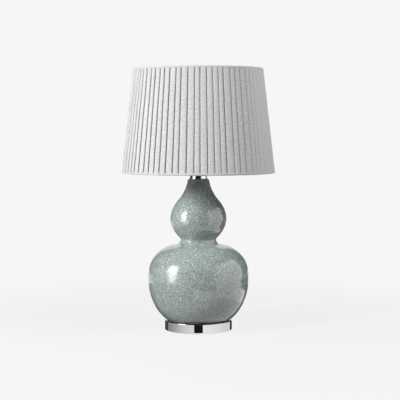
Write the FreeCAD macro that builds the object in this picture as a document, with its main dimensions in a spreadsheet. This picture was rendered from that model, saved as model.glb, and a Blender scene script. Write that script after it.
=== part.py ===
import FreeCAD, Part
import math
import os
from types import SimpleNamespace
import Sketcher

# A table lamp: a hollow ceramic double gourd on a round metal plinth, a push-bar lampholder on
# the threaded rod that clamps the stack together, and a pleated empire shade on a three-arm
# fitter. Lengths are millimetres, heights count from the table, and the front faces -Y.

doc = FreeCAD.newDocument("gourd_lamp")

sizes = {
    # plinth, felt and the board that closes it
    "plinth_radius": 78.4,
    "plinth_height": 22,
    "plinth_wall": 3,
    "plinth_plate": 3,
    "plinth_rounding": 1,
    "plinth_lift": 0.5,
    "board_ledge": 1.6,
    "board_thickness": 2,
    "felt_thickness": 1.5,
    "felt_margin": 0.5,
    "push_gap": 0.1,
    # cord outlet at the back
    "outlet_height": 11.5,
    "outlet_bore": 3.7,
    "outlet_neck": 5,
    "outlet_flange": 6.5,
    "outlet_flange_thickness": 1.6,
    # threaded rod and what clamps on it
    "rod_radius": 5,
    "rod_bore": 3.5,
    "rod_tail": 3,
    "rod_head": 3,
    "rod_gap": 0.3,
    "thread_gap": 0.03,
    "nut_flats": 14,
    "nut_thickness": 5,
    "washer_radius": 12,
    "washer_thickness": 1.5,
    "lock_radius": 8,
    "lock_thickness": 1.2,
    "lock_slot": 1.2,
    "tag_radius": 8,
    "tag_thickness": 0.8,
    "tag_width": 6,
    "tag_reach": 20,
    "tag_eye": 1.6,
    # ceramic gourd: radii at heights above its foot
    "gasket_outer": 71,
    "gasket_inner": 61,
    "gasket_thickness": 0.8,
    "foot_radius": 73,
    "foot_land": 12,
    "foot_recess": 3,
    "foot_rounding": 2,
    "heel_radius": 89.5,
    "heel_height": 15,
    "flank_radius": 108.5,
    "flank_height": 48,
    "belly_radius": 117.5,
    "belly_height": 99,
    "shoulder_radius": 110,
    "shoulder_height": 138,
    "slope_radius": 86.5,
    "slope_height": 164,
    "dip_radius": 64,
    "dip_height": 174,
    "hollow_radius": 46.5,
    "hollow_height": 179,
    "waist_radius": 42,
    "waist_height": 185,
    "rise_radius": 50.5,
    "rise_height": 199,
    "bulb_radius": 65.5,
    "bulb_height": 233,
    "crown_radius": 58,
    "crown_height": 265,
    "neck_radius": 38,
    "neck_height": 293,
    "throat_radius": 29,
    "throat_height": 311,
    "mouth_radius": 25,
    "gourd_height": 328.5,
    "mouth_rounding": 3,
    "mouth_bore": 15,
    "mouth_land": 8,
    "ceramic_wall": 6,
    "ceramic_floor": 7,
    "floor_radius": 68,
    "floor_bore": 9,
    # neck
    "neck_washer_radius": 21.5,
    "neck_washer_thickness": 1,
    "vase_cap_radius": 20.7,
    "vase_cap_rim": 1.6,
    "vase_cap_step": 1.1,
    "vase_cap_top": 18.6,
    "vase_cap_height": 8.7,
    "vase_cap_wall": 1.2,
    "vase_cap_rounding": 2,
    "neck_nut_thickness": 4,
    # lampholder
    "holder_radius": 19.5,
    "holder_wall": 1.2,
    "holder_boss": 8.5,
    "holder_boss_height": 4.5,
    "holder_flare": 10.5,
    "holder_flare_step": 1.5,
    "holder_ledge": 12,
    "holder_ledge_width": 2,
    "holder_ledge_thickness": 1.4,
    "holder_entry": 6.3,
    "holder_entry_room": 2.4,
    "holder_cap_height": 27,
    "holder_spigot": 4,
    "holder_shell_wall": 2.5,
    "holder_shell_height": 40,
    "holder_lip": 1,
    "seat_height": 8,
    "seat_thickness": 2.5,
    "seat_radius": 24,
    "grub_radius": 1.5,
    "grub_height": 2.3,
    "block_channel": 5.5,
    "wire_hole": 2,
    "wire_hole_place": 10,
    "terminal_radius": 1.7,
    "terminal_height": 3,
    "terminal_slot": 0.6,
    "insert_height": 22,
    "insert_floor": 6,
    "screw_shell_radius": 13.9,
    "screw_shell_wall": 0.5,
    "screw_shell_height": 24,
    "screw_shell_hole": 9,
    "contact_radius": 4,
    "contact_thickness": 0.6,
    "contact_rise": 1.2,
    "contact_point": 2.2,
    # push bar of the switch
    "bar_radius": 3,
    "bar_length": 52,
    "bar_travel": 7,
    "bar_gap": 0.1,
    "button_radius": 4,
    "button_length": 6,
    "button_bevel": 1,
    # lamp, a candle shape that passes through the shade fitter
    "lamp_gap": 0.1,
    "tip_radius": 4.5,
    "tip_height": 1.5,
    "glass_base_radius": 11.5,
    "glass_base_height": 4,
    "lamp_cap_radius": 13.1,
    "lamp_cap_height": 21,
    "collar_neck": 14.3,
    "collar_neck_height": 11,
    "collar_radius": 18.2,
    "collar_height": 29,
    "globe_radius": 18.5,
    "globe_height": 50,
    "globe_belly": 10,
    "globe_tip": 4,
    "globe_rounding": 30,
    "globe_tip_rounding": 4,
    # shade
    "shade_bottom_radius": 177.5,
    "shade_top_radius": 150,
    "shade_height": 240,
    "shade_drop": 32,
    "binding_width": 5,
    "binding_thickness": 0.6,
    "pleat_count": 70,
    "pleat_depth": 2.4,
    "pleat_groove": 0.14,
    "cloth_thickness": 0.6,
    "liner_thickness": 0.8,
    "glue_gap": 0.05,
    "wire_radius": 1.5,
    # fitter and the ring that clamps it
    "fitter_bore": 21,
    "fitter_radius": 33,
    "fitter_thickness": 1.8,
    "seat_gap": 0.1,
    "arm_start": 26,
    "arm_level": 55,
    "arm_bend": 40,
    "ring_gap": 0.1,
    "ring_flange_radius": 28,
    "ring_flange": 2.5,
    "ring_collar": 24,
    "ring_height": 9,
    "ring_grip": 1.5,
    "ring_grip_count": 18,
}

sheet = doc.addObject("Spreadsheet::Sheet", "Sizes")
for row, (name, number) in enumerate(sizes.items(), start=1):
    sheet.set(f"A{row}", name)
    sheet.set(f"B{row}", str(number))
    sheet.setAlias(f"B{row}", name)
doc.recompute()


class Length:
    # a size of the sheet, or a sum of sizes: its number now, and the expression that gives it
    def __init__(self, number, text):
        self.number = number
        self.text = text

    def join(self, sign, other):
        other = length(other)
        number = {
            "+": lambda: self.number + other.number,
            "-": lambda: self.number - other.number,
            "*": lambda: self.number * other.number,
            "/": lambda: self.number / other.number,
        }[sign]()
        return Length(number, f"({self.text} {sign} {other.text})")

    def __add__(self, other):
        return self.join("+", other)

    def __sub__(self, other):
        return self.join("-", other)

    def __mul__(self, other):
        return self.join("*", other)

    def __truediv__(self, other):
        return self.join("/", other)


def length(value):
    return value if isinstance(value, Length) else Length(value, str(value))


size = SimpleNamespace(**{
    name: Length(float(number), f"Sizes.{name}") for name, number in sizes.items()
})
pieces = []


def keep(piece, label, height, rotation=None):
    # gives a finished sub-part its label and its place on the lamp
    piece.Label = label
    if rotation is not None:
        piece.Placement = FreeCAD.Placement(FreeCAD.Vector(), rotation)
    piece.setExpression("Placement.Base.z", length(height).text)
    pieces.append(piece)
    return piece


def new_sketch(body, name, role, offset=None):
    # a sketch on one of the body's own origin planes, moved along its normal by an offset
    sketch = body.newObject("Sketcher::SketchObject", name)
    plane = [item for item in body.Origin.OriginFeatures if item.Role == role][0]
    sketch.AttachmentSupport = (plane, [""])
    sketch.MapMode = "FlatFace"
    if offset is not None:
        sketch.AttachmentOffset = FreeCAD.Placement(
            FreeCAD.Vector(0, 0, offset.number), FreeCAD.Rotation())
        sketch.setExpression("AttachmentOffset.Base.z", offset.text)
    return sketch


def bind(sketch, constraint, value):
    index = sketch.addConstraint(constraint)
    sketch.setExpression(f"Constraints[{index}]", value.text)


def place_point(sketch, item, point, across, up):
    # ties a point of the sketch to its distances from the origin
    for value, kind, axis in ((across, "DistanceX", -2), (up, "DistanceY", -1)):
        if value.text == "0":
            sketch.addConstraint(Sketcher.Constraint("PointOnObject", item, point, axis))
        else:
            tie = Sketcher.Constraint(kind, -1, 1, item, point, value.number)
            bind(sketch, tie, value)


def rounded_corner(before, corner, after, radius):
    # where the rounding leaves the two lines, and its centre
    to_before = (before - corner).normalize()
    to_after = (after - corner).normalize()
    half = to_before.getAngle(to_after) / 2
    run = radius / math.tan(half)
    middle = (to_before + to_after).normalize()
    return corner + to_before * run, corner + to_after * run, corner + middle * (radius / math.sin(half))


def draw_outline(sketch, corners, closed=True):
    # lines from corner to corner; a corner with a third value is rounded by that radius
    corners = [tuple(length(value) for value in corner) for corner in corners]
    spots = [FreeCAD.Vector(corner[0].number, corner[1].number, 0) for corner in corners]
    total = len(corners)
    arrive = list(spots)
    leave = list(spots)
    centre = {}
    for place, corner in enumerate(corners):
        if len(corner) == 3:
            arrive[place], leave[place], centre[place] = rounded_corner(
                spots[place - 1], spots[place], spots[(place + 1) % total], corner[2].number)
    lines = []
    for place in range(total if closed else total - 1):
        line = Part.LineSegment(leave[place], arrive[(place + 1) % total])
        lines.append(sketch.addGeometry(line, False))
    for place, corner in enumerate(corners):
        if not closed and place in (0, total - 1):
            end = (lines[0], 1) if place == 0 else (lines[-1], 2)
            place_point(sketch, end[0], end[1], corner[0], corner[1])
            continue
        last, following = lines[place - 1], lines[place]
        if place not in centre:
            sketch.addConstraint(Sketcher.Constraint("Coincident", last, 2, following, 1))
            place_point(sketch, following, 1, corner[0], corner[1])
            continue
        first = arrive[place] - centre[place]
        second = leave[place] - centre[place]
        counterclockwise = first.cross(second).z > 0
        start, finish = (first, second) if counterclockwise else (second, first)
        circle = Part.Circle(centre[place], FreeCAD.Vector(0, 0, 1), corner[2].number)
        start_angle = math.atan2(start.y, start.x)
        finish_angle = math.atan2(finish.y, finish.x)
        if finish_angle < start_angle:
            finish_angle += 2 * math.pi
        arc = sketch.addGeometry(Part.ArcOfCircle(circle, start_angle, finish_angle), False)
        arc_in, arc_out = (1, 2) if counterclockwise else (2, 1)
        sketch.addConstraint(Sketcher.Constraint("Tangent", last, 2, arc, arc_in))
        sketch.addConstraint(Sketcher.Constraint("Tangent", arc, arc_out, following, 1))
        bind(sketch, Sketcher.Constraint("Radius", arc, corner[2].number), corner[2])
        tip = sketch.addGeometry(Part.Point(spots[place]), True)
        sketch.addConstraint(Sketcher.Constraint("PointOnObject", tip, 1, last))
        sketch.addConstraint(Sketcher.Constraint("PointOnObject", tip, 1, following))
        place_point(sketch, tip, 1, corner[0], corner[1])


def draw_circle(sketch, across, up, radius):
    spot = FreeCAD.Vector(length(across).number, length(up).number, 0)
    circle = Part.Circle(spot, FreeCAD.Vector(0, 0, 1), radius.number)
    ring = sketch.addGeometry(circle, False)
    bind(sketch, Sketcher.Constraint("Radius", ring, radius.number), radius)
    place_point(sketch, ring, 3, length(across), length(up))


def turned(label, height, outline, rotation=None):
    # a piece turned about its own upright axis from half of its section
    body = doc.addObject("PartDesign::Body", label)
    sketch = new_sketch(body, f"{label}_section", "XZ_Plane")
    draw_outline(sketch, outline)
    turn = body.newObject("PartDesign::Revolution", f"{label}_turn")
    turn.Profile = sketch
    turn.ReferenceAxis = (sketch, ["V_Axis"])
    turn.Angle = 360
    return keep(body, label, height, rotation)


def ring_outline(inner, outer, thickness):
    return [(inner, 0), (outer, 0), (outer, thickness), (inner, thickness)]


def pocket(body, name, role, draw, both_ways=False):
    # cuts right through the body, away from an origin plane or to both sides of it
    doc.recompute()
    before = body.Shape.Volume
    sketch = new_sketch(body, f"{name}_sketch", role)
    draw(sketch)
    cut = body.newObject("PartDesign::Pocket", name)
    cut.Profile = sketch
    cut.Type = "ThroughAll"
    cut.Midplane = both_ways
    doc.recompute()
    if not body.Shape.Volume < before:
        raise RuntimeError(f"{name} cuts nothing")
    return cut


def hex_nut(label, height, thickness):
    hexagon = doc.addObject("Part::Prism", f"{label}_hexagon")
    hexagon.Polygon = 6
    hexagon.setExpression("Circumradius", f"{size.nut_flats.text} / sqrt(3)")
    hexagon.setExpression("Height", thickness.text)
    hole = doc.addObject("Part::Cylinder", f"{label}_hole")
    hole.setExpression("Radius", (size.rod_radius + size.thread_gap).text)
    hole.setExpression("Height", thickness.text)
    nut = doc.addObject("Part::Cut", label)
    nut.Base = hexagon
    nut.Tool = hole
    return keep(nut, label, height)


# ---- plinth ----
board_radius = size.plinth_radius - size.plinth_wall + size.board_ledge
board_top = size.felt_thickness + size.board_thickness
plate_under = size.plinth_height - size.plinth_plate
drum_bore = size.plinth_radius - size.plinth_wall
rod_clear = size.rod_radius + size.rod_gap

turned("felt_pad", 0, [
    (0, 0),
    (board_radius - size.felt_margin, 0),
    (board_radius - size.felt_margin, size.felt_thickness),
    (0, size.felt_thickness),
])

turned("base_board", size.felt_thickness, [
    (0, 0),
    (board_radius - size.push_gap, 0),
    (board_radius - size.push_gap, size.board_thickness),
    (0, size.board_thickness),
])

plinth = turned("plinth", size.plinth_lift, [
    (board_radius, 0),
    (size.plinth_radius, 0),
    (size.plinth_radius, size.plinth_height - size.plinth_lift, size.plinth_rounding),
    (rod_clear, size.plinth_height - size.plinth_lift),
    (rod_clear, plate_under - size.plinth_lift),
    (drum_bore, plate_under - size.plinth_lift),
    (drum_bore, board_top - size.plinth_lift),
    (board_radius, board_top - size.plinth_lift),
])
outlet_hole = size.outlet_neck + size.push_gap
pocket(plinth, "outlet_hole", "XZ_Plane", lambda sketch: draw_circle(
    sketch, 0, size.outlet_height - size.plinth_lift, outlet_hole))

# The grommet's flanges lie against the curved wall: the outer one at its crest, the inner one
# where its rim meets the drum's bore.
inner_face = math.sqrt(drum_bore.number ** 2 - size.outlet_flange.number ** 2)
inner_face_text = f"sqrt({drum_bore.text} ^ 2 - {size.outlet_flange.text} ^ 2)"
wall_face = Length(inner_face, inner_face_text)
grommet_back = wall_face - size.outlet_flange_thickness
neck_start = size.outlet_flange_thickness
neck_end = size.plinth_radius - grommet_back
grommet = turned("cord_grommet", size.outlet_height, [
    (size.outlet_bore, 0),
    (size.outlet_flange, 0),
    (size.outlet_flange, neck_start),
    (size.outlet_neck, neck_start),
    (size.outlet_neck, neck_end),
    (size.outlet_flange, neck_end),
    (size.outlet_flange, neck_end + size.outlet_flange_thickness / 2),
    (size.outlet_flange - size.outlet_flange_thickness / 2, neck_end + size.outlet_flange_thickness),
    (size.outlet_bore, neck_end + size.outlet_flange_thickness),
], FreeCAD.Rotation(FreeCAD.Vector(1, 0, 0), -90))
grommet.setExpression("Placement.Base.y", grommet_back.text)

# ---- rod and its lower fastening, from the plinth's plate down ----
tag_base = plate_under - size.tag_thickness
washer_base = tag_base - size.washer_thickness
lock_base = washer_base - size.lock_thickness
nut_base = lock_base - size.nut_thickness
rod_base = nut_base - size.rod_tail

tag = doc.addObject("PartDesign::Body", "earth_tag")
tag_disc = new_sketch(tag, "earth_tag_disc", "XY_Plane")
draw_circle(tag_disc, 0, 0, size.tag_radius)
tag_pad = tag.newObject("PartDesign::Pad", "earth_tag_pad")
tag_pad.Profile = tag_disc
tag_pad.setExpression("Length", size.tag_thickness.text)
tag_tail = new_sketch(tag, "earth_tag_tail", "XY_Plane")
tail_middle = size.tag_reach - size.tag_width / 2
draw_outline(tag_tail, [
    (0, size.tag_width / -2),
    (tail_middle, size.tag_width / -2),
    (tail_middle, size.tag_width / 2),
    (0, size.tag_width / 2),
])
tail_pad = tag.newObject("PartDesign::Pad", "earth_tag_tail_pad")
tail_pad.Profile = tag_tail
tail_pad.setExpression("Length", size.tag_thickness.text)
tail_end = new_sketch(tag, "earth_tag_end", "XY_Plane")
draw_circle(tail_end, tail_middle, 0, size.tag_width / 2)
end_pad = tag.newObject("PartDesign::Pad", "earth_tag_end_pad")
end_pad.Profile = tail_end
end_pad.setExpression("Length", size.tag_thickness.text)
pocket(tag, "tag_hole", "XY_Plane", lambda sketch: draw_circle(sketch, 0, 0, rod_clear), True)
pocket(tag, "tag_eye", "XY_Plane", lambda sketch: draw_circle(sketch, tail_middle, 0, size.tag_eye), True)
keep(tag, "earth_tag", tag_base)

turned("rod_washer", washer_base, ring_outline(rod_clear, size.washer_radius, size.washer_thickness))

lock = turned("lock_washer", lock_base, ring_outline(rod_clear, size.lock_radius, size.lock_thickness))
pocket(lock, "lock_split", "XY_Plane", lambda sketch: draw_outline(sketch, [
    (0, 0),
    (size.washer_radius, 0),
    (size.washer_radius, size.lock_slot),
    (0, size.lock_slot),
]), True)

hex_nut("rod_nut", nut_base, size.nut_thickness)

# ---- levels of the stack on the rod ----
foot = size.plinth_height + size.gasket_thickness
mouth = foot + size.gourd_height
vase_cap_base = mouth + size.neck_washer_thickness
neck_nut_base = vase_cap_base + size.vase_cap_height
holder_base = neck_nut_base + size.neck_nut_thickness
rod_top = holder_base + size.holder_entry + size.rod_head

turned("threaded_rod", rod_base, ring_outline(size.rod_bore, size.rod_radius, rod_top - rod_base))
turned("foot_gasket", size.plinth_height, ring_outline(
    size.gasket_inner, size.gasket_outer, size.gasket_thickness))

# ---- ceramic gourd ----
profile = [
    (size.foot_radius, length(0)),
    (size.heel_radius, size.heel_height),
    (size.flank_radius, size.flank_height),
    (size.belly_radius, size.belly_height),
    (size.shoulder_radius, size.shoulder_height),
    (size.slope_radius, size.slope_height),
    (size.dip_radius, size.dip_height),
    (size.hollow_radius, size.hollow_height),
    (size.waist_radius, size.waist_height),
    (size.rise_radius, size.rise_height),
    (size.bulb_radius, size.bulb_height),
    (size.crown_radius, size.crown_height),
    (size.neck_radius, size.neck_height),
    (size.throat_radius, size.throat_height),
    (size.mouth_radius, size.gourd_height),
]


def at(radius, height):
    return FreeCAD.Vector(length(radius).number, 0, length(height).number)


def arc(start, along, finish):
    # the arc that leaves start in a given direction and ends at finish
    chord = finish - start
    half = along.getAngle(chord)
    if half < 1e-4:
        return Part.LineSegment(start, finish).toShape()
    corner = start + along * (chord.Length / 2 / math.cos(half))
    middle = (start + finish) / 2
    crown = middle + (corner - middle) * (math.tan(half / 2) / math.tan(half))
    return Part.Arc(start, crown, finish).toShape()


def smooth_through(points, along):
    # two arcs from each point to the next, which meet every point in its own direction
    edges = []
    for place in range(len(points) - 1):
        start, finish = points[place], points[place + 1]
        leave, meet = along[place], along[place + 1]
        chord = finish - start
        both = chord.dot(leave + meet)
        turn = 2 * (1 - leave.dot(meet))
        if turn < 1e-6:
            reach = chord.dot(chord) / (4 * chord.dot(meet))
        else:
            reach = (math.sqrt(both ** 2 + 2 * turn * chord.dot(chord)) - both) / (2 * turn)
        joint = (start + leave * reach + finish - meet * reach) / 2
        edges.append(arc(start, leave, joint))
        edges.append(arc(finish, meet * -1, joint))
    return edges


def edge_at(shape, radius, height):
    # the round edge of a turned shape with this radius at this height
    return [
        edge for edge in shape.Edges
        if isinstance(edge.Curve, Part.Circle)
        and abs(edge.Curve.Radius - radius.number) < 0.01
        and abs(edge.Curve.Center.z - length(height).number) < 0.01
    ]


def gourd_shape():
    # the wall follows the outside in short cones; the throat closes in to the mouth's bore
    outside = [at(radius, height) for radius, height in profile]
    guide = Part.BSplineCurve()
    guide.interpolate(outside)
    along = [guide.tangent(guide.parameter(spot))[0] for spot in outside]
    inside = []
    for spot, direction in zip(outside[1:-1], along[1:-1]):
        inward = FreeCAD.Vector(-direction.z, 0, direction.x)
        inside.append(spot + inward * size.ceramic_wall.number)
    throat_top = at(size.mouth_bore, size.gourd_height - size.mouth_land)
    floor_top = size.foot_recess + size.ceramic_floor
    land_start = size.foot_radius - size.foot_land
    corners = [
        inside[-1],
        throat_top,
        at(size.mouth_bore, size.gourd_height),
        at(size.mouth_radius, size.gourd_height),
    ]
    under = [
        at(size.foot_radius, 0),
        at(land_start, 0),
        at(land_start, size.foot_recess),
        at(size.floor_bore, size.foot_recess),
        at(size.floor_bore, floor_top),
        at(size.floor_radius, floor_top),
        inside[0],
    ]
    edges = smooth_through(outside, along)
    for line in (inside, corners, under):
        edges += [Part.LineSegment(one, two).toShape() for one, two in zip(line, line[1:])]
    section = Part.Face(Part.Wire(Part.__sortEdges__(edges)))
    ware = section.revolve(FreeCAD.Vector(), FreeCAD.Vector(0, 0, 1), 360)
    ware = ware.makeFillet(size.mouth_rounding.number, edge_at(ware, size.mouth_radius, size.gourd_height))
    return ware.makeFillet(size.foot_rounding.number, edge_at(ware, size.foot_radius, 0))


gourd = doc.addObject("Part::Feature", "gourd_body")
gourd.Shape = gourd_shape()
keep(gourd, "gourd_body", foot)

# ---- neck ----
turned("neck_washer", mouth, ring_outline(
    rod_clear, size.neck_washer_radius, size.neck_washer_thickness))

cap_inside = size.vase_cap_wall
turned("vase_cap", vase_cap_base, [
    (size.vase_cap_radius - size.vase_cap_step - cap_inside, 0),
    (size.vase_cap_radius, 0),
    (size.vase_cap_radius, size.vase_cap_rim, size.vase_cap_rim / 3),
    (size.vase_cap_radius - size.vase_cap_step, size.vase_cap_rim),
    (size.vase_cap_top, size.vase_cap_height, size.vase_cap_rounding),
    (rod_clear, size.vase_cap_height),
    (rod_clear, size.vase_cap_height - cap_inside),
    (size.vase_cap_top - cap_inside, size.vase_cap_height - cap_inside),
])

hex_nut("neck_nut", neck_nut_base, size.neck_nut_thickness)

# ---- lampholder ----
holder_bore = size.holder_radius - size.holder_wall
ledge_bore = holder_bore - size.holder_ledge_width
ledge_under = size.holder_ledge - size.holder_ledge_thickness
holder_cap = turned("lampholder_cap", holder_base, [
    (size.rod_radius + size.thread_gap, 0),
    (size.holder_boss, 0),
    (size.holder_boss, size.holder_boss_height),
    (size.holder_radius - size.holder_flare_step, size.holder_flare - size.holder_flare_step),
    (size.holder_radius, size.holder_flare),
    (size.holder_radius, size.holder_cap_height),
    (holder_bore, size.holder_cap_height),
    (holder_bore, size.holder_ledge),
    (ledge_bore, size.holder_ledge),
    (ledge_bore, ledge_under),
    (size.rod_radius + size.holder_entry_room, size.holder_entry),
    (size.rod_radius + size.thread_gap, size.holder_entry),
])
bar_hole = size.bar_radius + size.bar_gap
bar_level = size.holder_ledge + size.block_channel
pocket(holder_cap, "bar_holes", "YZ_Plane", lambda sketch: draw_circle(
    sketch, 0, bar_level, bar_hole), True)
pocket(holder_cap, "grub_hole", "XZ_Plane", lambda sketch: draw_circle(
    sketch, 0, size.grub_height, size.grub_radius + size.thread_gap))

grub_start = size.rod_radius + size.thread_gap
grub_screw = turned("grub_screw", holder_base + size.grub_height, [
    (0, 0),
    (size.grub_radius, 0),
    (size.grub_radius, size.holder_boss - grub_start),
    (0, size.holder_boss - grub_start),
], FreeCAD.Rotation(FreeCAD.Vector(1, 0, 0), -90))
grub_screw.setExpression("Placement.Base.y", grub_start.text)

# The block that holds the switch sits on the cap's ledge and is clamped by the shell's spigot.
block_base = holder_base + size.holder_ledge
block_height = size.holder_cap_height - size.holder_spigot - size.holder_ledge
block_radius = holder_bore - size.push_gap
block = turned("switch_block", block_base, [
    (0, 0),
    (block_radius, 0),
    (block_radius, block_height),
    (0, block_height),
])
pocket(block, "bar_channel", "YZ_Plane", lambda sketch: draw_circle(
    sketch, 0, size.block_channel, bar_hole), True)
pocket(block, "wire_hole_right", "XY_Plane", lambda sketch: draw_circle(
    sketch, 0, size.wire_hole_place, size.wire_hole), True)

terminals = []
for side in (1, -1):
    screw = doc.addObject("Part::Cylinder", "terminal_screw")
    screw.setExpression("Radius", size.terminal_radius.text)
    screw.setExpression("Height", size.terminal_height.text)
    screw.setExpression("Placement.Base.x", (size.wire_hole_place * side).text)
    slot = doc.addObject("Part::Box", "terminal_slot")
    slot.setExpression("Length", (size.terminal_radius * 2).text)
    slot.setExpression("Width", size.terminal_slot.text)
    slot.setExpression("Height", size.terminal_slot.text)
    slot.setExpression("Placement.Base.x", (size.wire_hole_place * side - size.terminal_radius).text)
    slot.setExpression("Placement.Base.y", (size.terminal_slot / -2).text)
    slotted = doc.addObject("Part::Cut", "terminal_screw_slotted")
    slotted.Base = screw
    slotted.Tool = slot
    terminals.append(slotted)
terminal_screws = doc.addObject("Part::Compound", "terminal_screws")
terminal_screws.Links = terminals
keep(terminal_screws, "terminal_screws", block_base - size.terminal_height)

shell_base = holder_base + size.holder_cap_height
shell_bore = size.holder_radius - size.holder_shell_wall
seat_top = size.holder_spigot + size.seat_height
turned("lampholder_shell", shell_base - size.holder_spigot, [
    (shell_bore, 0),
    (block_radius, 0),
    (block_radius, size.holder_spigot),
    (size.holder_radius, size.holder_spigot),
    (size.holder_radius, seat_top - size.seat_thickness),
    (size.seat_radius, seat_top - size.seat_thickness),
    (size.seat_radius, seat_top),
    (size.holder_radius, seat_top),
    (size.holder_radius, size.holder_spigot + size.holder_shell_height - size.holder_lip),
    (size.holder_radius - size.holder_lip, size.holder_spigot + size.holder_shell_height),
    (shell_bore, size.holder_spigot + size.holder_shell_height),
])

insert_base = block_base + block_height
recess_radius = size.screw_shell_radius + size.push_gap
insert_radius = shell_bore - size.push_gap
turned("porcelain_insert", insert_base, [
    (0, 0),
    (insert_radius, 0),
    (insert_radius, size.insert_height),
    (recess_radius, size.insert_height),
    (recess_radius, size.insert_floor),
    (0, size.insert_floor),
])

recess_floor = insert_base + size.insert_floor
turned("screw_shell", recess_floor, [
    (size.screw_shell_hole, 0),
    (size.screw_shell_radius, 0),
    (size.screw_shell_radius, size.screw_shell_height),
    (size.screw_shell_radius - size.screw_shell_wall, size.screw_shell_height),
    (size.screw_shell_radius - size.screw_shell_wall, size.screw_shell_wall),
    (size.screw_shell_hole, size.screw_shell_wall),
])

turned("centre_contact", recess_floor, [
    (0, 0),
    (size.contact_radius, 0),
    (size.contact_radius, size.contact_thickness),
    (size.contact_point, size.contact_thickness),
    (size.contact_point, size.contact_rise),
    (0, size.contact_rise),
])

# ---- push bar, pushed to the right at rest ----
along_x = FreeCAD.Rotation(FreeCAD.Vector(0, 1, 0), 90)
bar_height = block_base + size.block_channel
bar_start = size.bar_travel / 2 - size.bar_length / 2
push_bar = turned("push_bar", bar_height, [
    (0, 0),
    (size.bar_radius, 0),
    (size.bar_radius, size.bar_length),
    (0, size.bar_length),
], along_x)
push_bar.setExpression("Placement.Base.x", bar_start.text)
button_outline = [
    (0, 0),
    (size.button_radius, 0),
    (size.button_radius, size.button_length - size.button_bevel),
    (size.button_radius - size.button_bevel, size.button_length),
    (0, size.button_length),
]
right_button = turned("push_button_right", bar_height, button_outline, along_x)
right_button.setExpression("Placement.Base.x", (bar_start + size.bar_length).text)
left_button = turned("push_button_left", bar_height, button_outline, FreeCAD.Rotation(
    FreeCAD.Vector(0, 1, 0), -90))
left_button.setExpression("Placement.Base.x", bar_start.text)

# ---- lamp ----
lamp_base = recess_floor + size.contact_rise + size.lamp_gap
turned("lamp_contact", lamp_base, [
    (0, 0),
    (size.tip_radius - size.tip_height / 2, 0),
    (size.tip_radius, size.tip_height),
    (0, size.tip_height),
])
glass_base = lamp_base + size.tip_height
turned("lamp_insulator", glass_base, [
    (0, 0),
    (size.tip_radius, 0),
    (size.glass_base_radius, size.glass_base_height),
    (0, size.glass_base_height),
])
cap_base = glass_base + size.glass_base_height
turned("lamp_screw_cap", cap_base, [
    (0, 0),
    (size.glass_base_radius, 0),
    (size.lamp_cap_radius, size.lamp_cap_radius - size.glass_base_radius),
    (size.lamp_cap_radius, size.lamp_cap_height),
    (0, size.lamp_cap_height),
])
collar_base = cap_base + size.lamp_cap_height
turned("lamp_collar", collar_base, [
    (0, 0),
    (size.lamp_cap_radius, 0),
    (size.collar_neck, size.collar_neck_height),
    (size.collar_radius, size.collar_height),
    (0, size.collar_height),
])
globe_base = collar_base + size.collar_height
turned("lamp_globe", globe_base, [
    (0, 0),
    (size.collar_radius, 0),
    (size.globe_radius, size.globe_belly, size.globe_rounding),
    (size.globe_tip, size.globe_height, size.globe_tip_rounding),
    (0, size.globe_height),
])

# ---- shade: heights count up from its lower edge ----
fitter_base = shell_base + size.seat_height + size.seat_gap
shade_base = fitter_base - size.shade_drop
taper = (size.shade_bottom_radius - size.shade_top_radius) / size.shade_height
slant = math.hypot(1, taper.number)
slant_text = f"sqrt(1 + {taper.text} ^ 2)"
edge = size.binding_thickness
cloth_top = size.shade_height - edge


def out_at(height):
    # outer radius of the whole shade at a height above its lower edge
    return size.shade_bottom_radius - taper * height


def liner_out(height):
    return (out_at(height) - size.binding_thickness - size.pleat_depth - size.cloth_thickness
            - size.glue_gap)


def liner_in(height):
    return liner_out(height) - size.liner_thickness


turned("shade_liner", shade_base, [
    (liner_in(edge), edge),
    (liner_out(edge), edge),
    (liner_out(cloth_top), cloth_top),
    (liner_in(cloth_top), cloth_top),
])

wire_inset = Length(size.wire_radius.number * slant, f"({size.wire_radius.text} * {slant_text})")
wire_side = math.tan(math.pi / 8)


def hoop_radius(level):
    # the wire's centre line, where the wire touches the liner
    return liner_in(level) - wire_inset - size.glue_gap


def hoop(label, level):
    # a wire ring inside the liner, its wire eight-sided
    middle = hoop_radius(level)
    wire = size.wire_radius
    steps = [
        (wire_side, -1),
        (1, -wire_side),
        (1, wire_side),
        (wire_side, 1),
        (-wire_side, 1),
        (-1, wire_side),
        (-1, -wire_side),
        (-wire_side, -1),
    ]
    turned(label, shade_base + level - wire, [
        (middle + wire * across, wire * (1 + up)) for across, up in steps
    ])


bottom_level = edge + size.wire_radius + size.glue_gap
top_level = cloth_top - size.wire_radius - size.glue_gap
hoop("bottom_ring", bottom_level)
hoop("top_ring", top_level)


def crest(height):
    # radius of the pleats' crests at a height, just inside the bindings
    return out_at(height) - size.binding_thickness - size.glue_gap


def round_wire(height, rounds):
    # one closed round at a height; each pleat has a point for every share and radius in rounds
    count = int(size.pleat_count.number)
    points = []
    for pleat in range(count):
        for share, radius in rounds:
            angle = 2 * math.pi * (pleat + share) / count
            points.append(FreeCAD.Vector(
                radius * math.cos(angle), radius * math.sin(angle), height.number))
    return Part.makePolygon(points + points[:1])


def pleats_shape():
    # the folded cloth: saw-toothed outside, flat-faced inside against the liner
    flat = math.cos(math.pi / int(size.pleat_count.number))
    folded = []
    lining = []
    for height in (edge, cloth_top):
        high = crest(height).number
        low = high * (1 - size.pleat_depth.number / size.shade_bottom_radius.number)
        folded.append(round_wire(height, [(0, low), (size.pleat_groove.number, high)]))
        inner = (liner_out(height).number + size.glue_gap.number) / flat
        lining.append(round_wire(height, [(0, inner)]))
    return Part.makeLoft(folded, True, True).cut(Part.makeLoft(lining, True, True))


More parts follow.
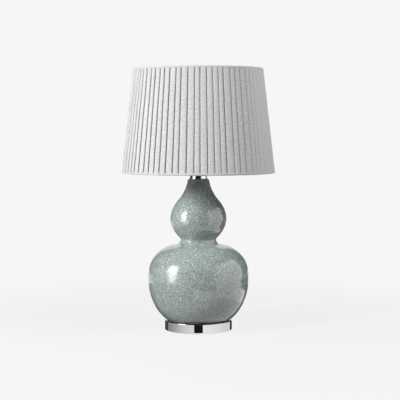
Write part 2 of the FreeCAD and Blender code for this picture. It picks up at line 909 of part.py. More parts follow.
pleats = doc.addObject("Part::Feature", "pleated_cover")
pleats.Shape = pleats_shape()
keep(pleats, "pleated_cover", shade_base)

turned("bottom_binding", shade_base, [
    (hoop_radius(bottom_level) - size.wire_radius, 0),
    (out_at(length(0)), 0),
    (out_at(size.binding_width), size.binding_width),
    (crest(size.binding_width) + size.glue_gap, size.binding_width),
    (crest(edge) + size.glue_gap, edge),
    (hoop_radius(bottom_level) - size.wire_radius, edge),
])
binding_start = size.shade_height - size.binding_width
turned("top_binding", shade_base, [
    (crest(binding_start) + size.glue_gap, binding_start),
    (out_at(binding_start), binding_start),
    (out_at(size.shade_height), size.shade_height),
    (hoop_radius(top_level) - size.wire_radius, size.shade_height),
    (hoop_radius(top_level) - size.wire_radius, cloth_top),
    (crest(cloth_top) + size.glue_gap, cloth_top),
])

# ---- fitter: a plate with three arms welded under it ----
turned("fitter_plate", fitter_base, ring_outline(
    size.fitter_bore, size.fitter_radius, size.fitter_thickness))

arm_drop = size.shade_drop - size.wire_radius - bottom_level
arm_end_radius = hoop_radius(bottom_level) - size.wire_radius - size.glue_gap
for label, angle in (("fitter_arm_rear", 90), ("fitter_arm_left", 210), ("fitter_arm_right", 330)):
    arm = doc.addObject("PartDesign::Body", label)
    start = new_sketch(arm, f"{label}_section", "YZ_Plane", size.arm_start)
    draw_circle(start, 0, arm_drop, size.wire_radius)
    route = new_sketch(arm, f"{label}_route", "XZ_Plane")
    draw_outline(route, [
        (size.arm_start, arm_drop),
        (size.arm_level, arm_drop, size.arm_bend),
        (arm_end_radius, 0),
    ], closed=False)
    pipe = arm.newObject("PartDesign::AdditivePipe", f"{label}_pipe")
    pipe.Profile = start
    pipe.Spine = route
    keep(arm, label, shade_base + bottom_level, FreeCAD.Rotation(FreeCAD.Vector(0, 0, 1), angle))

# ---- ring that clamps the fitter ----
ring_base = fitter_base + size.fitter_thickness + size.seat_gap
shade_ring = turned("shade_ring", ring_base, [
    (size.holder_radius + size.ring_gap, 0),
    (size.ring_flange_radius, 0),
    (size.ring_flange_radius, size.ring_flange),
    (size.ring_collar, size.ring_flange),
    (size.ring_collar, size.ring_height),
    (size.holder_radius + size.ring_gap, size.ring_height),
])
grip = pocket(shade_ring, "ring_grip_notch", "XY_Plane", lambda sketch: draw_circle(
    sketch, size.ring_flange_radius, 0, size.ring_grip), True)
grips = shade_ring.newObject("PartDesign::PolarPattern", "ring_grips")
grips.Originals = [grip]
grips.Axis = (shade_ring.Origin.OriginFeatures[2], [""])
grips.Angle = 360
grips.setExpression("Occurrences", size.ring_grip_count.text)
shade_ring.Tip = grips

# ---- checks, then the files ----
doc.recompute()
for item in doc.Objects:
    if "Invalid" in item.State or "Error" in item.State:
        raise RuntimeError(f"{item.Label}: {item.State}")
for piece in pieces:
    if piece.Shape.isNull() or not piece.Shape.isValid() or not piece.Shape.Solids:
        raise RuntimeError(f"{piece.Label} has no sound shape")

os.makedirs("parts", exist_ok=True)
for piece in pieces:
    piece.Shape.exportStep(f"parts/{piece.Label}.step")
    box = piece.Shape.BoundBox
    print(f"{piece.Label:20} solids {len(piece.Shape.Solids)} volume {piece.Shape.Volume:10.1f}"
          f" z {box.ZMin:7.2f} to {box.ZMax:7.2f}")
print(len(pieces), "sub-parts")
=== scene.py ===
import math
import random

import bmesh
import bpy
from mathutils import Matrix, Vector, noise


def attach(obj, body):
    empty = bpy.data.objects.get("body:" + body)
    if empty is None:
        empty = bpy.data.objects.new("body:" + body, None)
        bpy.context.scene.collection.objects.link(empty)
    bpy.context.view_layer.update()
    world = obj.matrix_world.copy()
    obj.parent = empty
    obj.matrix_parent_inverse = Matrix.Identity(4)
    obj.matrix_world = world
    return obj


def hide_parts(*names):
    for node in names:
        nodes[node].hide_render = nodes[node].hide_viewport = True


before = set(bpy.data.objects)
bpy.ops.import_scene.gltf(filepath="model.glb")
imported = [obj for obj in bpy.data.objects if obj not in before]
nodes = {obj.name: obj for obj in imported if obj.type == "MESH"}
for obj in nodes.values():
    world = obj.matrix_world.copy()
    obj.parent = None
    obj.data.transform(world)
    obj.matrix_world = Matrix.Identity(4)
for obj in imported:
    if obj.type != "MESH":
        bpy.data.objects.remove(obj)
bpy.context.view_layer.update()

scene = bpy.context.scene
scene.view_settings.view_transform = "Standard"
print("frame loaded:", len(nodes), "nodes")


def linear(*levels):
    # screen levels from 0 to 255 as the linear colour that a shader takes
    shares = [level / 255 for level in levels]
    return tuple(s / 12.92 if s <= 0.04045 else ((s + 0.055) / 1.055) ** 2.4 for s in shares)


cameraView = {
    "place": (0.0037, -2.8, 0.471),
    "tilt": 3.44,  # degrees down
    "lens": 108.2,
}

cameraData = bpy.data.cameras.new("camera")
cameraData.lens = cameraView["lens"]
cameraData.sensor_width = 36
cameraData.clip_start = 0.05
camera = bpy.data.objects.new("camera", cameraData)
camera.location = cameraView["place"]
camera.rotation_euler = (math.radians(90 - cameraView["tilt"]), 0, 0)
scene.collection.objects.link(camera)
scene.camera = camera


class Signal:
    # a shader socket that can be added, multiplied and compared
    def __init__(self, finish, socket):
        self.finish = finish
        self.socket = socket

    def maths(self, operation, *others):
        return self.finish.node("ShaderNodeMath", {"operation": operation}, dict(enumerate(others)))

    def __add__(self, other):
        return self.maths("ADD", self, other)

    def __radd__(self, other):
        return self.maths("ADD", other, self)

    def __sub__(self, other):
        return self.maths("SUBTRACT", self, other)

    def __rsub__(self, other):
        return self.maths("SUBTRACT", other, self)

    def __mul__(self, other):
        return self.maths("MULTIPLY", self, other)

    def __rmul__(self, other):
        return self.maths("MULTIPLY", other, self)

    def __truediv__(self, other):
        return self.maths("DIVIDE", self, other)

    def __pow__(self, other):
        return self.maths("POWER", self, other)

    def largest(self, other):
        return self.maths("MAXIMUM", self, other)

    def between(self, low, high):
        # 0 at low and 1 at high, smooth in between; low may be the larger
        return self.finish.node(
            "ShaderNodeMapRange",
            {"interpolation_type": "SMOOTHSTEP"},
            {"Value": self, "From Min": low, "From Max": high},
        )


class Finish:
    # a node tree of one material or of the world
    def __init__(self, owner):
        self.owner = owner
        owner.use_nodes = True
        self.tree = owner.node_tree
        self.tree.nodes.clear()

    def node(self, kind, settings=None, sockets=None, output=0):
        made = self.tree.nodes.new(kind)
        for name, value in (settings or {}).items():
            setattr(made, name, value)
        for name, value in (sockets or {}).items():
            self.feed(made.inputs[name], value)
        return Signal(self, made.outputs[output]) if made.outputs else None

    def feed(self, socket, value):
        if isinstance(value, Signal):
            self.tree.links.new(value.socket, socket)
        elif socket.type == "RGBA":
            socket.default_value = (*value, 1)
        else:
            socket.default_value = value

    def place(self, scale=(1, 1, 1), source="Object"):
        read = self.node("ShaderNodeTexCoord", output=source)
        return self.node("ShaderNodeMapping", sockets={"Vector": read, "Scale": scale})

    def grain(self, vector, scale, detail=2.0, rough=0.5, output=0):
        return self.node(
            "ShaderNodeTexNoise",
            sockets={"Vector": vector, "Scale": scale, "Detail": detail, "Roughness": rough},
            output=output,
        )

    def mixed(self, share, first, second):
        return self.node(
            "ShaderNodeMix",
            {"data_type": "RGBA"},
            {0: share, 6: first, 7: second},
            output=2,
        )

    def bump(self, height, strength, distance, normal=None):
        sockets = {"Height": height, "Strength": strength, "Distance": distance}
        if normal is not None:
            sockets["Normal"] = normal
        return self.node("ShaderNodeBump", sockets=sockets)

    def surface(self, **sockets):
        named = {name.replace("_", " "): value for name, value in sockets.items()}
        shader = self.node("ShaderNodeBsdfPrincipled", sockets=named)
        self.node("ShaderNodeOutputMaterial", sockets={"Surface": shader})
        return self.owner


def newFinish(name):
    return Finish(bpy.data.materials.new(name))


glazeLook = {
    "ground": linear(108, 125, 122),
    "vein": linear(228, 239, 236),
    "speck": linear(52, 68, 65),
    "cells": 225,  # crackle cells to the metre
    "gloss": 0.035,
}


def crackleGlaze():
    f = newFinish("crackle_glaze")
    place = f.place()
    drift = f.grain(place, 120, 1, output="Color")
    half = f.node("ShaderNodeVectorMath", {"operation": "SUBTRACT"}, {0: drift, 1: (0.5, 0.5, 0.5)})
    shift = f.node("ShaderNodeVectorMath", {"operation": "SCALE"}, {0: half, "Scale": 0.007})
    bent = f.node("ShaderNodeVectorMath", {"operation": "ADD"}, {0: place, 1: shift})

    def network(scale, wide):
        edge = f.node(
            "ShaderNodeTexVoronoi",
            {"feature": "DISTANCE_TO_EDGE"},
            {"Vector": bent, "Scale": scale},
        )
        return edge.between(wide, 0.02)

    cells = glazeLook["cells"]
    broken = f.grain(place, 330, 2).between(0.36, 0.6)
    veins = network(cells, 0.19) * (0.4 + 0.6 * broken)
    veins = veins.largest(network(cells * 1.6, 0.2) * 0.45)
    spots = f.node("ShaderNodeTexVoronoi", sockets={"Vector": place, "Scale": cells * 1.25})
    dots = spots.between(0.30, 0.12)
    clouds = f.grain(place, 14, 3).between(0.3, 0.7)
    ground = f.mixed(clouds, glazeLook["ground"], linear(116, 133, 130))
    speckled = f.mixed(dots * 0.9, ground, glazeLook["speck"])
    colour = f.mixed(veins * 0.9, speckled, glazeLook["vein"])
    ripple = f.bump(f.grain(place, 55, 2), 0.1, 0.0006)
    lumps = f.bump(veins - dots * 0.5, 0.16, 0.0003, ripple)
    return f.surface(
        Base_Color=colour,
        Roughness=0.42 + 0.12 * veins,
        Normal=lumps,
        Coat_Weight=1.0,
        Coat_Roughness=glazeLook["gloss"],
        Coat_IOR=1.6,
        Specular_IOR_Level=0.25,
    )


clothLook = {
    "light": linear(246, 246, 246),
    "shade": linear(186, 186, 186),
    # painted shade: how far the colour is darkened inside the folds
    "paintedFoldShade": 0.6,
    "thread": 0.00055,
    "through": 0.13,  # painted glow: emission that stands in for light coming through the thin cloth from the far side of the room
}


def wovenCloth(name, light, dark, source="UV"):
    # u and v are metres on the flat cloth; the attribute is 1 deep in a fold, where it darkens the
    # colour as painted shade
    f = newFinish(name)
    paintedFoldShade = f.node("ShaderNodeAttribute", {"attribute_name": "fold"}, output="Fac")
    flat = f.place(source=source)
    across = f.place((70, 1300, 1), source)
    upward = f.place((1300, 70, 1), source)
    slubs = f.grain(across, 1.0, 2).between(0.42, 0.75) * 0.6
    slubs = slubs + f.grain(upward, 1.0, 2).between(0.45, 0.75) * 0.4
    speckle = f.grain(flat, 620, 2)
    cloud = f.grain(flat, 30, 2)
    knots = f.grain(flat, 250, 1).between(0.36, 0.66)
    per = math.pi / clothLook["thread"] / 10

    def threads(direction):
        sockets = {"Vector": flat, "Scale": per, "Distortion": 0.4}
        return f.node("ShaderNodeTexWave", {"bands_direction": direction}, sockets)

    weave = threads("X") * threads("Y")
    tone = speckle.between(0.25, 0.75) * 0.26 + knots * 0.22 + slubs * 0.26
    tone = tone + weave * 0.16 + cloud * 0.1
    # painted shade: deep in the folds the colour goes toward a dark grey, on top of the shade from
    # the pleats' shape
    depth = paintedFoldShade.between(0.12, 0.9) * clothLook["paintedFoldShade"]
    paintedShadeColour = f.mixed(depth, f.mixed(tone, dark, light), linear(70, 70, 72))
    return f.surface(
        Base_Color=paintedShadeColour,
        Roughness=0.92,
        Specular_IOR_Level=0.2,
        Sheen_Weight=0.15,
        Sheen_Roughness=0.5,
        # painted glow: the cloth and the bindings give off a little light in their own colour, for
        # light coming through the cloth
        Emission_Color=paintedShadeColour,
        Emission_Strength=clothLook["through"],
        Normal=f.bump(weave * 0.5 + slubs * 0.7 + knots * 0.3 + speckle * 0.3, 0.35, 0.0004),
    )


def brightMetal(name, colour, rough, brushed=0.0):
    f = newFinish(name)
    place = f.place()
    haze = f.grain(place, 30, 3)
    marks = f.grain(f.place((40, 40, 2400)), 1.0, 2)
    return f.surface(
        Base_Color=f.mixed(haze.between(0.2, 0.8) * 0.35, colour, tuple(c * 0.93 for c in colour)),
        Metallic=1.0,
        Roughness=rough + 0.04 * haze + brushed * marks,
        Normal=f.bump(marks, 0.02 + 0.3 * brushed, 0.0002),
    )


def plainPaint(name, colour, rough, grit=260, relief=0.0002, coat=0.0, glow=0.0):
    f = newFinish(name)
    place = f.place()
    fine = f.grain(place, grit, 3)
    wide = f.grain(place, 18, 2)
    worn = tuple(c * 0.86 for c in colour)
    return f.surface(
        Base_Color=f.mixed(fine.between(0.3, 0.75) * 0.35 + wide * 0.25, colour, worn),
        Roughness=rough + 0.12 * fine,
        Coat_Weight=coat,
        Coat_Roughness=0.2,
        Subsurface_Weight=glow,
        Subsurface_Radius=(0.004, 0.004, 0.004),
        Normal=f.bump(fine, 0.3, relief),
    )


def feltFinish():
    f = newFinish("felt")
    place = f.place()
    hairs = f.grain(f.place((900, 300, 600)), 1.0, 4, 0.7)
    tufts = f.grain(place, 420, 3, 0.6)
    return f.surface(
        Base_Color=f.mixed(hairs.between(0.3, 0.7), linear(34, 36, 38), linear(62, 64, 67)),
        Roughness=1.0,
        Specular_IOR_Level=0.1,
        Sheen_Weight=0.4,
        Normal=f.bump(hairs * 0.6 + tufts * 0.6, 0.8, 0.0008),
    )


glaze = crackleGlaze()
pleatCloth = wovenCloth("pleated_cloth", clothLook["light"], clothLook["shade"])
hemCloth = wovenCloth("binding_cloth", linear(236, 236, 236), linear(196, 196, 196))
chrome = brightMetal("chrome", linear(202, 202, 203), 0.03)
plinthChrome = brightMetal("plinth_chrome", linear(202, 202, 202), 0.05)
brass = brightMetal("brass", linear(206, 176, 108), 0.22, 0.2)
zinc = brightMetal("zinc_steel", linear(188, 190, 193), 0.3, 0.25)
nickel = brightMetal("nickel", linear(205, 203, 198), 0.18, 0.1)
solder = brightMetal("solder", linear(176, 178, 182), 0.4, 0.2)
blackPlastic = plainPaint("black_plastic", linear(26, 26, 28), 0.35, 700, 0.00006)
blackRubber = plainPaint("black_rubber", linear(22, 22, 23), 0.7, 500, 0.0001)
whitePlastic = plainPaint("white_plastic", linear(232, 232, 230), 0.4, 600, 0.00004)
porcelain = plainPaint("porcelain", linear(236, 234, 228), 0.25, 300, 0.00008, coat=0.8)
whiteWire = plainPaint("white_wire", linear(230, 231, 232), 0.35, 900, 0.00012, coat=0.3)
linerSheet = plainPaint("liner_sheet", linear(240, 240, 238), 0.55, 240, 0.00008)
hardboard = plainPaint("hardboard", linear(104, 78, 52), 0.8, 800, 0.0003)
opal = plainPaint("opal_diffuser", linear(244, 243, 240), 0.45, 200, 0.00003, coat=0.2, glow=0.25)
felt = feltFinish()

nodeFinishes = {
    "felt_pad": felt,
    "base_board": hardboard,
    "plinth": plinthChrome,
    "cord_grommet": blackPlastic,
    "earth_tag": brass,
    "rod_washer": zinc,
    "lock_washer": zinc,
    "rod_nut": brass,
    "threaded_rod": brass,
    "foot_gasket": blackRubber,
    "gourd_body": glaze,
    "neck_washer": blackRubber,
    "vase_cap": chrome,
    "neck_nut": brass,
    "lampholder_cap": chrome,
    "grub_screw": zinc,
    "switch_block": blackPlastic,
    "terminal_screws": brass,
    "lampholder_shell": chrome,
    "porcelain_insert": porcelain,
    "screw_shell": brass,
    "centre_contact": brass,
    "push_bar": blackPlastic,
    "push_button_right": blackPlastic,
    "push_button_left": blackPlastic,
    "shade_liner": linerSheet,
    "bottom_ring": whiteWire,
    "top_ring": whiteWire,
    "pleated_cover": pleatCloth,
    "bottom_binding": hemCloth,
    "top_binding": hemCloth,
    "fitter_plate": whiteWire,
    "fitter_arm_rear": whiteWire,
    "fitter_arm_left": whiteWire,
    "fitter_arm_right": whiteWire,
    "shade_ring": chrome,
    "lamp_contact": solder,
    "lamp_insulator": blackPlastic,
    "lamp_screw_cap": nickel,
    "lamp_collar": whitePlastic,
    "lamp_globe": opal,
}
for name, finish in nodeFinishes.items():
    for place in nodes[name].material_slots:
        place.material = finish
print("finishes made for", len(nodeFinishes), "nodes")


def finishedPiece(name, mesh, material, body, replaced, crease=None):
    # crease is the angle in degrees from which an edge stays sharp
    data = bpy.data.meshes.new(name)
    mesh.to_mesh(data)
    mesh.free()
    data.materials.append(material)
    data.shade_smooth()
    if crease:
        data.set_sharp_from_angle(angle=math.radians(crease))
    piece = bpy.data.objects.new(name, data)
    scene.collection.objects.link(piece)
    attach(piece, body)
    if replaced:
        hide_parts(*replaced)
    return piece


shadeSize = {
    # the cloth stands a little proud of the shade's frame on every side
    "base": 0.3661,
    "height": 0.2425,
    "bottomRadius": 0.1788,
    "topRadius": 0.1506,
}


def shadeRadius(above):
    share = above / shadeSize["height"]
    return shadeSize["bottomRadius"] + share * (shadeSize["topRadius"] - shadeSize["bottomRadius"])


coverSize = {
    "pleats": 70,
    "clothPerPleat": 0.0262,  # outer face, tuck back and tuck forward
    "pitch": 0.0147,  # a pleat's width half way up
    "cloth": 0.00042,
    "crestInset": 0.0007,  # crests' middle line under the bindings' outside
    "depth": 0.0031,
    "pressed": 0.55,  # share of the depth that is lost on the right side
    "edge": 0.0012,  # the cloth ends this far inside the shade's edges
    "rows": 26,
    "waver": 0.00034,
    # widths of the pleats at the front, in degrees, from left to right
    "frontWidths": (6.7, 5.1, 4.6, 5.3, 5.8, 4.7, 5.1, 4.6, 5.0, 5.6, 4.5, 5.6,
                    5.7, 4.3, 5.5, 5.2, 4.8, 4.2, 6.4, 4.6, 5.2, 5.9),
    "frontStart": -71.6,
}
# the fold of one pleat: share of its width, share of its tuck, share of its depth
foldPath = (
    (0.000, 0.00, 1.00),
    (0.070, 0.00, 0.93),
    (0.115, 0.00, 0.70),
    (0.150, 0.00, 0.42),
    (0.200, 0.00, 0.22),
    (0.300, 0.00, 0.10),
    (0.460, 0.00, 0.02),
    (0.640, 0.00, 0.00),
    (0.820, 0.00, 0.05),
    (0.930, 0.00, 0.15),
    (0.975, 0.00, 0.28),
    (0.950, 0.00, 0.42),
    (0.860, 0.00, 0.47),
    (0.960, -0.80, 0.54),
    (1.000, -1.00, 0.68),
    (0.980, -0.85, 0.86),
    (1.000, -0.45, 0.98),
)


def pleatEdges():
    # where each pleat starts, in degrees round from the front; uneven as folded by hand
    dice = random.Random(7)
    widths = list(coverSize["frontWidths"])
    others = [5.14 + dice.uniform(-0.75, 0.75) for _ in range(coverSize["pleats"] - len(widths))]
    spare = (360 - sum(widths)) / sum(others)
    edges = [coverSize["frontStart"]]
    for width in widths + [w * spare for w in others]:
        edges.append(edges[-1] + width)
    return edges


def pleatedCover():
    edges = pleatEdges()
    steps = len(foldPath)
    columns = coverSize["pleats"] * steps
    rows = coverSize["rows"]
    cover = bmesh.new()
    bmesh.ops.create_grid(cover, x_segments=columns, y_segments=rows, size=0.5)
    flatWidth = coverSize["pleats"] * coverSize["clothPerPleat"]
    flatHeight = math.hypot(
        shadeSize["height"] - 2 * coverSize["edge"],
        shadeSize["bottomRadius"] - shadeSize["topRadius"],
    )
    # cloth length up to each point of the fold, as a share of the pleat's cloth
    pitch = coverSize["pitch"]
    tuck = (coverSize["clothPerPleat"] - pitch) / 2
    run = [(w * pitch + t * tuck, d * coverSize["depth"]) for w, t, d in foldPath]
    run.append((pitch, coverSize["depth"]))
    lengths = [0.0]
    for here, ahead in zip(run, run[1:]):
        lengths.append(lengths[-1] + math.dist(here, ahead))
    unrolled = [length / lengths[-1] for length in lengths]

    uv = cover.loops.layers.uv.new("cloth")
    fold = cover.verts.layers.float.new("fold")
    places = {}
    for vertex in cover.verts:
        column = round((vertex.co.x + 0.5) * columns)
        row = round((vertex.co.y + 0.5) * rows)
        places[vertex] = (column, row)
    for face in cover.faces:
        for loop in face.loops:
            column, row = places[loop.vert]
            pleat, step = divmod(column, steps)
            loop[uv].uv = (
                (pleat + unrolled[step]) / coverSize["pleats"] * flatWidth,
                row / rows * flatHeight,
            )
    for vertex, (column, row) in places.items():
        pleat, step = divmod(column, steps)
        pleat %= coverSize["pleats"]
        side = math.sin(math.radians(edges[pleat]))
        pressed = 1 - coverSize["pressed"] * min(1.0, max(0.0, (side - 0.2) / 0.6))
        # the fold value also drives the cloth's painted shade in its folds, weaker where the pleats
        # are pressed flatter
        vertex[fold] = foldPath[step][2] * pressed
        share = 0.5 - 0.5 * math.cos(math.pi * row / rows)
        share = 0.35 * share + 0.65 * row / rows
        above = coverSize["edge"] + share * (shadeSize["height"] - 2 * coverSize["edge"])
        fromEdge = min(above, shadeSize["height"] - above)
        flatten = 0.55 + 0.45 * min(1.0, fromEdge / 0.016)
        radius = shadeRadius(above) - coverSize["crestInset"]
        start, end = (math.radians(edges[pleat + i]) * radius for i in (0, 1))
        wide, tucked, deep = foldPath[step]
        tuck = max(0.002, (coverSize["clothPerPleat"] - (end - start)) / 2)
        tuck = min(tuck, 0.8 * (end - start))

        def lean(number):
            # each fold wanders a little and leans over its height
            soft = noise.noise(Vector((number * 7.31, share * 2.2, 3.7)))
            quick = noise.noise(Vector((number * 3.17, share * 7.5, 9.1)))
            fade = min(1.0, fromEdge / 0.01)
            return coverSize["waver"] * (1.5 * soft + 0.3 * quick) * (0.4 + 0.6 * fade)

        start += lean(pleat)
        end += lean((pleat + 1) % coverSize["pleats"])
        along = start + wide * (end - start) + tucked * tuck
        swell = 0.00016 * noise.noise(Vector((pleat * 1.7 + wide, share * 5.0, 1.3)))
        inward = deep * coverSize["depth"] * flatten * pressed + swell * (1 - deep)
        turn = along / radius
        outward = radius - inward
        vertex.co = (
            outward * math.sin(turn),
            -outward * math.cos(turn),
            shadeSize["base"] + above,
        )
    bmesh.ops.remove_doubles(cover, verts=cover.verts, dist=0.00001)
    bmesh.ops.recalc_face_normals(cover, faces=cover.faces)
    piece = finishedPiece(
        "pleats", cover, pleatCloth, "shade", ["pleated_cover"]
    )
    thickness = piece.modifiers.new("cloth", "SOLIDIFY")
    thickness.thickness = coverSize["cloth"]
    thickness.offset = 0
    return piece


pleats = pleatedCover()
print("pleated cover made:", len(pleats.data.polygons), "faces")


bindingSize = {
    "width": 0.005,
    "tape": 0.0108,  # width of the flat tape, with what is turned in under the edge
    "cloth": 0.0003,
    "inset": 0.0002,
    "rounds": 420,
}


def binding(name, replaced, level, upward):
    # a folded tape over the shade's edge: level is the edge's height in the shade
    def at(radiusIn, up):
        height = level + upward * up
        return (shadeRadius(height) - radiusIn, 0, shadeSize["base"] + height)

    width = bindingSize["width"]
    inset = bindingSize["inset"]
    outline = (
        at(0.0062, 0.0012), at(0.0046, 0.0004), at(0.0028, 0.00018), at(0.0016, 0.00035),
        at(0.0009, 0.0008), at(inset + 0.0003, 0.0014), at(inset + 0.00015, 0.0022),
        at(inset + 0.0001, 0.0032), at(inset + 0.0001, width - 0.0003),
        at(inset + 0.0003, width), at(inset + 0.0004, width - 0.0006),
    )
    tape = bmesh.new()
    line = [tape.verts.new(point) for point in outline]
    for here, ahead in zip(line, line[1:]):
        tape.edges.new((here, ahead))
    bmesh.ops.spin(
        tape,
        geom=tape.verts[:] + tape.edges[:],
        cent=(0, 0, 0),
        axis=(0, 0, 1),
        angle=math.tau,
        steps=bindingSize["rounds"],
        use_merge=True,
    )
    bmesh.ops.remove_doubles(tape, verts=tape.verts, dist=0.000001)
    bmesh.ops.recalc_face_normals(tape, faces=tape.faces)
    uv = tape.loops.layers.uv.new("cloth")
    for face in tape.faces:
        for loop in face.loops:
            spot = loop.vert.co
            loop[uv].uv = (
                math.atan2(spot.x, -spot.y) * shadeRadius(level),
                spot.z + 0.5 * math.hypot(spot.x, spot.y),
            )
    for vertex in tape.verts:
        turn = math.atan2(vertex.co.x, -vertex.co.y)
        sway = noise.noise(Vector((math.sin(turn) * 9, math.cos(turn) * 9, level * 50)))
        vertex.co.z += 0.00015 * sway * upward
        outward = Vector((vertex.co.x, vertex.co.y, 0)).normalized()
        vertex.co += outward * 0.00012 * noise.noise(vertex.co * 220)
    piece = finishedPiece(name, tape, hemCloth, "shade", [replaced])
    thickness = piece.modifiers.new("cloth", "SOLIDIFY")
    thickness.thickness = bindingSize["cloth"]
    thickness.offset = 0
    math.tau * shadeRadius(level)
    return piece


bottomHem = binding("bottom_hem", "bottom_binding", 0.0, 1)
topHem = binding("top_hem", "top_binding", shadeSize["height"], -1)
print("bindings made")


# the polished cap under the shade: radii and heights
capSize = {
    "rim": 0.0207,
    "wall": 0.0197,
    "hole": 0.0053,
    "base": 0.3523,
    "rimHeight": 0.0015,
    "top": 0.361,
}


def neckCap():
    base, top = capSize["base"], capSize["top"]
    rim, wall = capSize["rim"], capSize["wall"]
    step, hole = base + capSize["rimHeight"], capSize["hole"]
    outline = (
        (hole, base), (rim - 0.0004, base), (rim, base + 0.0004),
        (rim, step - 0.0004), (rim - 0.0004, step), (wall + 0.0002, step), (wall, step + 0.0003),
        (wall, top - 0.0022), (wall - 0.0004, top - 0.0010), (wall - 0.0012, top - 0.0003),
        (wall - 0.0024, top), (hole, top), (hole, base),
    )
    cap = bmesh.new()
    line = [cap.verts.new((radius, 0, height)) for radius, height in outline]
    for here, ahead in zip(line, line[1:]):
        cap.edges.new((here, ahead))
    bmesh.ops.spin(
        cap, geom=cap.verts[:] + cap.edges[:], cent=(0, 0, 0), axis=(0, 0, 1),
        angle=math.tau, steps=96, use_merge=True,
    )
    bmesh.ops.remove_doubles(cap, verts=cap.verts, dist=0.000001)
    bmesh.ops.recalc_face_normals(cap, faces=cap.faces)
    return finishedPiece("neck_cap", cap, chrome, "stand", ["vase_cap"], crease=10)


neckCap()
print("neck cap made")


feltSize = {"radius": 0.0765, "thick": 0.0015}


def feltDisc():
    disc = bmesh.new()
    bmesh.ops.create_circle(disc, cap_ends=True, segments=128, radius=feltSize["radius"])
    made = bmesh.ops.extrude_face_region(disc, geom=disc.faces[:])
    raised = [g for g in made["geom"] if isinstance(g, bmesh.types.BMVert)]
    bmesh.ops.translate(disc, vec=(0, 0, feltSize["thick"]), verts=raised)
    bmesh.ops.recalc_face_normals(disc, faces=disc.faces)
    rims = [e for e in disc.edges if len(e.link_faces) == 2 and e.calc_face_angle() > 1]
    bmesh.ops.bevel(
        disc, geom=rims, offset=0.0004, segments=3, profile=0.5, affect="EDGES", material=-1
    )
    piece = finishedPiece("felt_disc", disc, felt, "stand", ["felt_pad"])
    return piece


feltDisc()
print("felt made")


stageLook = {
    "white": linear(246, 246, 246),
    "low": 0.13,  # light from the sides and from above, on the object only
    "high": 0.18,
    "floorShadow": 0.12,  # share of the floor that the lamps light, so it keeps the shadow
}
lampLook = {
    # place, what it looks at, width, power
    "key": ((-1.38, -1.15, 1.02), (0, 0, 0.34), 0.6, 33.5),
    "side": ((1.34, -0.50, 1.52), (0, 0, 0.40), 0.8, 14.5),
}


def seenInPicture(f):
    # 1 for rays of the camera, gloss and glass, 0 for the light on the object
    def path(name):
        return f.node("ShaderNodeLightPath", output=name)

    return path("Is Camera Ray").largest(path("Is Glossy Ray")).largest(path("Is Transmission Ray"))


def floorFinish():
    f = newFinish("floor")
    place = f.place()
    away = f.node("ShaderNodeVectorMath", {"operation": "LENGTH"}, {0: place}, output="Value")
    near = away.between(1.1, 0.35)
    glow = f.node("ShaderNodeEmission", sockets={"Color": stageLook["white"], "Strength": 1.0})
    lit = f.node("ShaderNodeBsdfDiffuse", sockets={"Color": linear(240, 240, 240)})
    dim = f.node("ShaderNodeBsdfDiffuse", sockets={"Color": linear(98, 98, 98)})
    kept = near * stageLook["floorShadow"]
    shown = f.node("ShaderNodeMixShader", sockets={0: kept, 1: glow, 2: lit})
    both = f.node("ShaderNodeMixShader", sockets={0: seenInPicture(f), 1: dim, 2: shown})
    f.node("ShaderNodeOutputMaterial", sockets={"Surface": both})
    return f.owner


def skyFinish():
    world = bpy.data.worlds.new("studio")
    scene.world = world
    f = Finish(world)
    turn = f.node("ShaderNodeTexCoord", output="Generated")
    up = f.node("ShaderNodeSeparateXYZ", sockets={0: turn}, output="Z")
    level = stageLook["low"] + (stageLook["high"] - stageLook["low"]) * up.between(0.0, 1.0)
    shown = f.node("ShaderNodeBackground", sockets={"Color": stageLook["white"], "Strength": 1.0})
    light = f.node("ShaderNodeBackground", sockets={"Color": (1, 1, 1), "Strength": level})
    both = f.node("ShaderNodeMixShader", sockets={0: seenInPicture(f), 1: light, 2: shown})
    f.node("ShaderNodeOutputWorld", sockets={"Surface": both})


def stageMesh(name, mesh, material, glossOnly=False):
    data = bpy.data.meshes.new(name)
    mesh.to_mesh(data)
    mesh.free()
    data.materials.append(material)
    made = bpy.data.objects.new(name, data)
    scene.collection.objects.link(made)
    if glossOnly:
        made.visible_camera = False
        made.visible_diffuse = False
        made.visible_shadow = False
        made.visible_transmission = False
        made.visible_volume_scatter = False
    return made


def glowFinish(name, level, tint=(1, 1, 1), source="Object"):
    # a card's finish: level is a number, or a function that makes it from the place on the card
    f = newFinish(name)
    if callable(level):
        place = f.node("ShaderNodeTexCoord", output=source)
        level = level(*(
            f.node("ShaderNodeSeparateXYZ", sockets={0: place}, output=axis) for axis in "XY"
        ))
    glow = f.node("ShaderNodeEmission", sockets={"Color": tint, "Strength": level})
    f.node("ShaderNodeOutputMaterial", sockets={"Surface": glow})
    return f.owner


def card(name, azimuth, distance, width, low, high, material):
    # an upright card that faces the lamp; azimuth 0 is towards the camera, 90 to the right
    sheet = bmesh.new()
    bmesh.ops.create_grid(sheet, x_segments=1, y_segments=1, size=0.5)
    bmesh.ops.scale(sheet, vec=(width, high - low, 1), verts=sheet.verts)
    made = stageMesh(name, sheet, material, True)
    turn = math.radians(azimuth)
    made.location = (distance * math.sin(turn), -distance * math.cos(turn), (low + high) / 2)
    made.rotation_euler = (math.pi / 2, 0, turn)
    return made


floorLook = {
    "inner": 0.0786,  # the plinth's radius, where the strips start
    "lift": 0.0003,
}


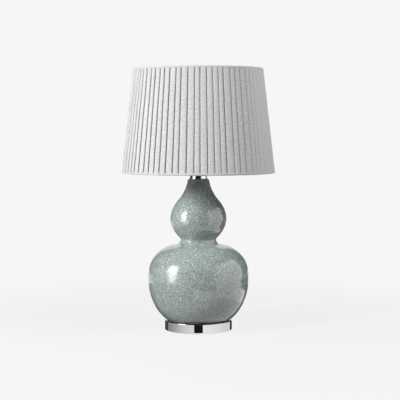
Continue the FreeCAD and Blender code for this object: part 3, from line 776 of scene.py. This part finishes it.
def floorCard(name, first, last, near, far, level):
    # a strip on the floor; its edges run the way that the plinth throws back a view from the front,
    # so each is named by the degrees round the plinth where it shows; u runs from first to last
    strip = bmesh.new()
    bmesh.ops.create_grid(strip, x_segments=24, y_segments=1, size=0.5)
    uv = strip.loops.layers.uv.new("strip")
    for face in strip.faces:
        for loop in face.loops:
            loop[uv].uv = (loop.vert.co.x + 0.5, loop.vert.co.y + 0.5)
    for vertex in strip.verts:
        around = math.radians(first + (vertex.co.x + 0.5) * (last - first))
        reach = near + (vertex.co.y + 0.5) * (far - near)
        vertex.co = (
            floorLook["inner"] * math.sin(around) + reach * math.sin(2 * around),
            -floorLook["inner"] * math.cos(around) - reach * math.cos(2 * around),
            floorLook["lift"],
        )
    return stageMesh(name, strip, glowFinish(name, level, source="UV"), True)


floor = bmesh.new()
bmesh.ops.create_circle(floor, cap_ends=True, segments=96, radius=12)
stageMesh("floor", floor, floorFinish())
skyFinish()


def leftGlow(x, y):
    # a hot spot near the card's right edge, soft to the left, above and below
    across = (x - 0.28) / 0.5
    up = (y + 0.2) / 0.85
    far = (across * across + up * up) ** 0.5
    return 0.35 + 9.5 * far.between(1.0, 0.3)


def leftFarGlow(u, v):
    return 0.3 + 2.6 * v.between(0.3, 0.5) * u.between(0.38, 0.5) * u.between(0.78, 0.66)


def leftFloorGlow(u, v):
    return 0.4 + 0.68 * u.between(0.0, 0.85)


def rightFloorGlow(u, v):
    return 1.3 - 0.3 * u.between(0.2, 0.95)


dark = glowFinish("flag", 0.012)
card("front_flag", -3, 2.3, 3.5, 0.0, 3.2, dark)
card("left_box", -72, 1.35, 1.15, 0.0, 1.55, glowFinish("left_box", leftGlow))
card("right_box", 80, 1.35, 1.9, 0.0, 1.35, glowFinish("right_box", 1.9, linear(255, 253, 250)))
card("left_flag", -128, 1.9, 2.2, 0.0, 3.0, dark)
card("right_flag", 140, 1.9, 1.6, 0.0, 3.0, dark)
ceiling = bmesh.new()
bmesh.ops.create_grid(ceiling, x_segments=1, y_segments=1, size=3.0)
bmesh.ops.translate(ceiling, vec=(0, 0.2, 2.3), verts=ceiling.verts)
stageMesh("top_flag", ceiling, dark, True)
floorCard("floor_left", -63.5, 0, 0.0, 0.16, leftFloorGlow)
floorCard("floor_left_far", -63.5, -5.9, 0.16, 1.5, leftFarGlow)
floorCard("floor_right", 0, 69.5, 0.0, 0.16, rightFloorGlow)
floorCard("floor_right_near", 56, 69.5, 0.16, 0.42, 1.6)
floorCard("floor_right_far", 20, 56, 0.16, 1.5, 1.7)
floorCard("floor_right_dark", -5.9, 20, 0.3, 1.6, 0.012)
floorCard("floor_right_side", 56, 78, 0.42, 1.6, 0.012)
floorCard("floor_front", -5.9, 20, 0.16, 0.3, 1.4)
floorCard("floor_rear_left", -90, -63.5, 0.0, 0.7, 0.08)
floorCard("floor_rear_right", 69.5, 90, 0.0, 0.7, 0.02)
# a low dark strip before the plinth, for the black line in it
card("strip_front", 0.2, 0.092, 0.0275, 0.0, 0.0212, dark)

for name, (place, target, wide, power) in lampLook.items():
    lampData = bpy.data.lights.new(name, "AREA")
    lampData.size = wide
    lampData.energy = power
    lamp = bpy.data.objects.new(name, lampData)
    lamp.location = place
    lamp.rotation_euler = (Vector(target) - Vector(place)).to_track_quat("-Z", "Y").to_euler()
    lamp.visible_glossy = False
    lamp.visible_camera = False
    scene.collection.objects.link(lamp)
print("stage set")
